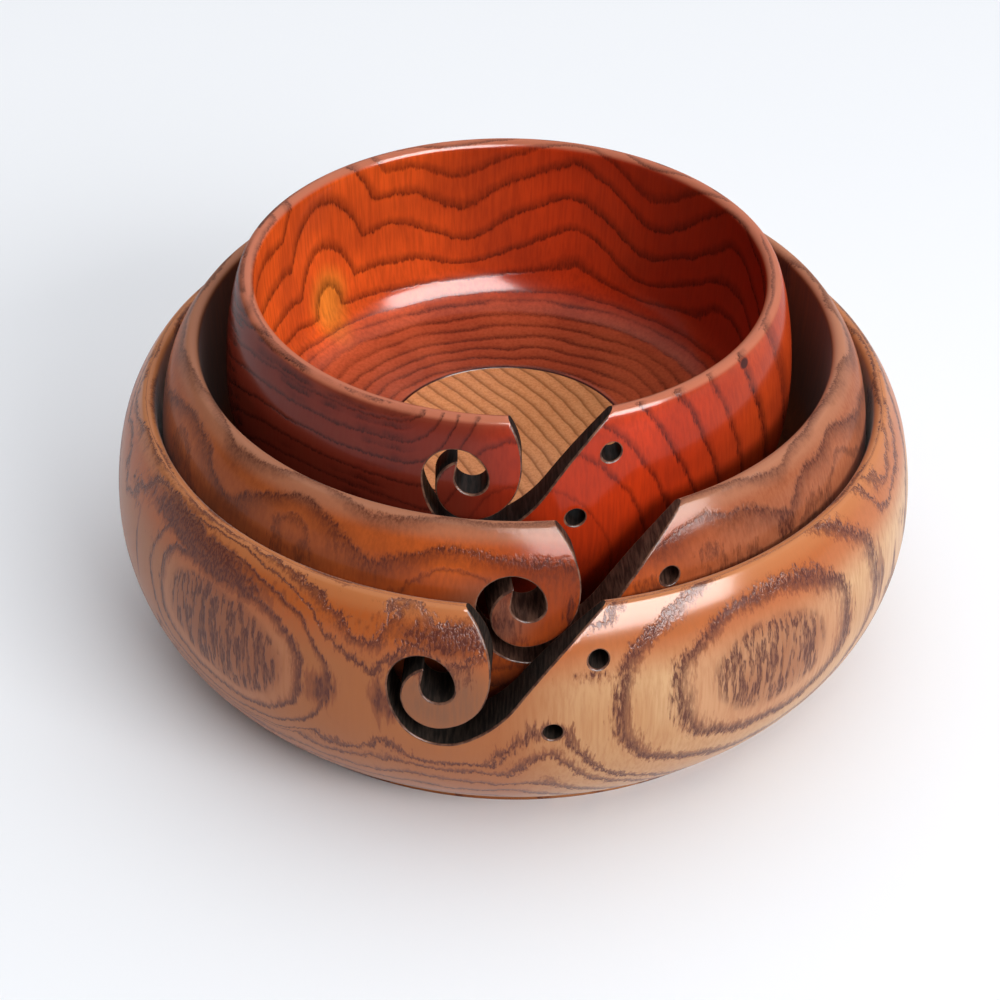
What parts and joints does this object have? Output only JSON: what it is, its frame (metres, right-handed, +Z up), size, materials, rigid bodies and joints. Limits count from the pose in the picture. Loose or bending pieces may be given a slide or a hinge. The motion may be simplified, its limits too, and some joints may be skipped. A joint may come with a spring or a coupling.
{
  "type": "nesting yarn bowl set",
  "caption": "Nested turned wooden yarn bowls, each with a scroll-shaped yarn slot and needle holes cut through its front wall and a disc set into its floor.",
  "frame": {"origin": "centre of the large bowl's foot, on the table plane", "axes": "+Z up along the large bowl's turning axis; the yarn slots face -Y; the needle holes are to the +X side of the slots"},
  "size_m": [0.2, 0.2, 0.1002],
  "materials": {
    "large_bowl_wood": "glossy clear lacquer",
    "medium_bowl_wood": "glossy clear lacquer",
    "small_bowl_wood": "glossy clear lacquer",
    "disc_wood": "glossy clear lacquer"
  },
  "bodies": {
    "large_bowl": {"large_shell": "large_bowl_wood", "large_base_disc": "disc_wood"},
    "medium_bowl": {"medium_shell": "medium_bowl_wood", "medium_base_disc": "disc_wood"},
    "small_bowl": {"small_shell": "small_bowl_wood", "small_base_disc": "disc_wood"}
  },
  "joints": [
    {"name": "medium_lift", "type": "slide", "parent": "large_bowl", "child": "medium_bowl", "axis": [0, 0, 1], "range_m": [0, 0.06]},
    {"name": "small_lift", "type": "slide", "parent": "medium_bowl", "child": "small_bowl", "axis": [0, 0, 1], "range_m": [0, 0.06]}
  ]
}
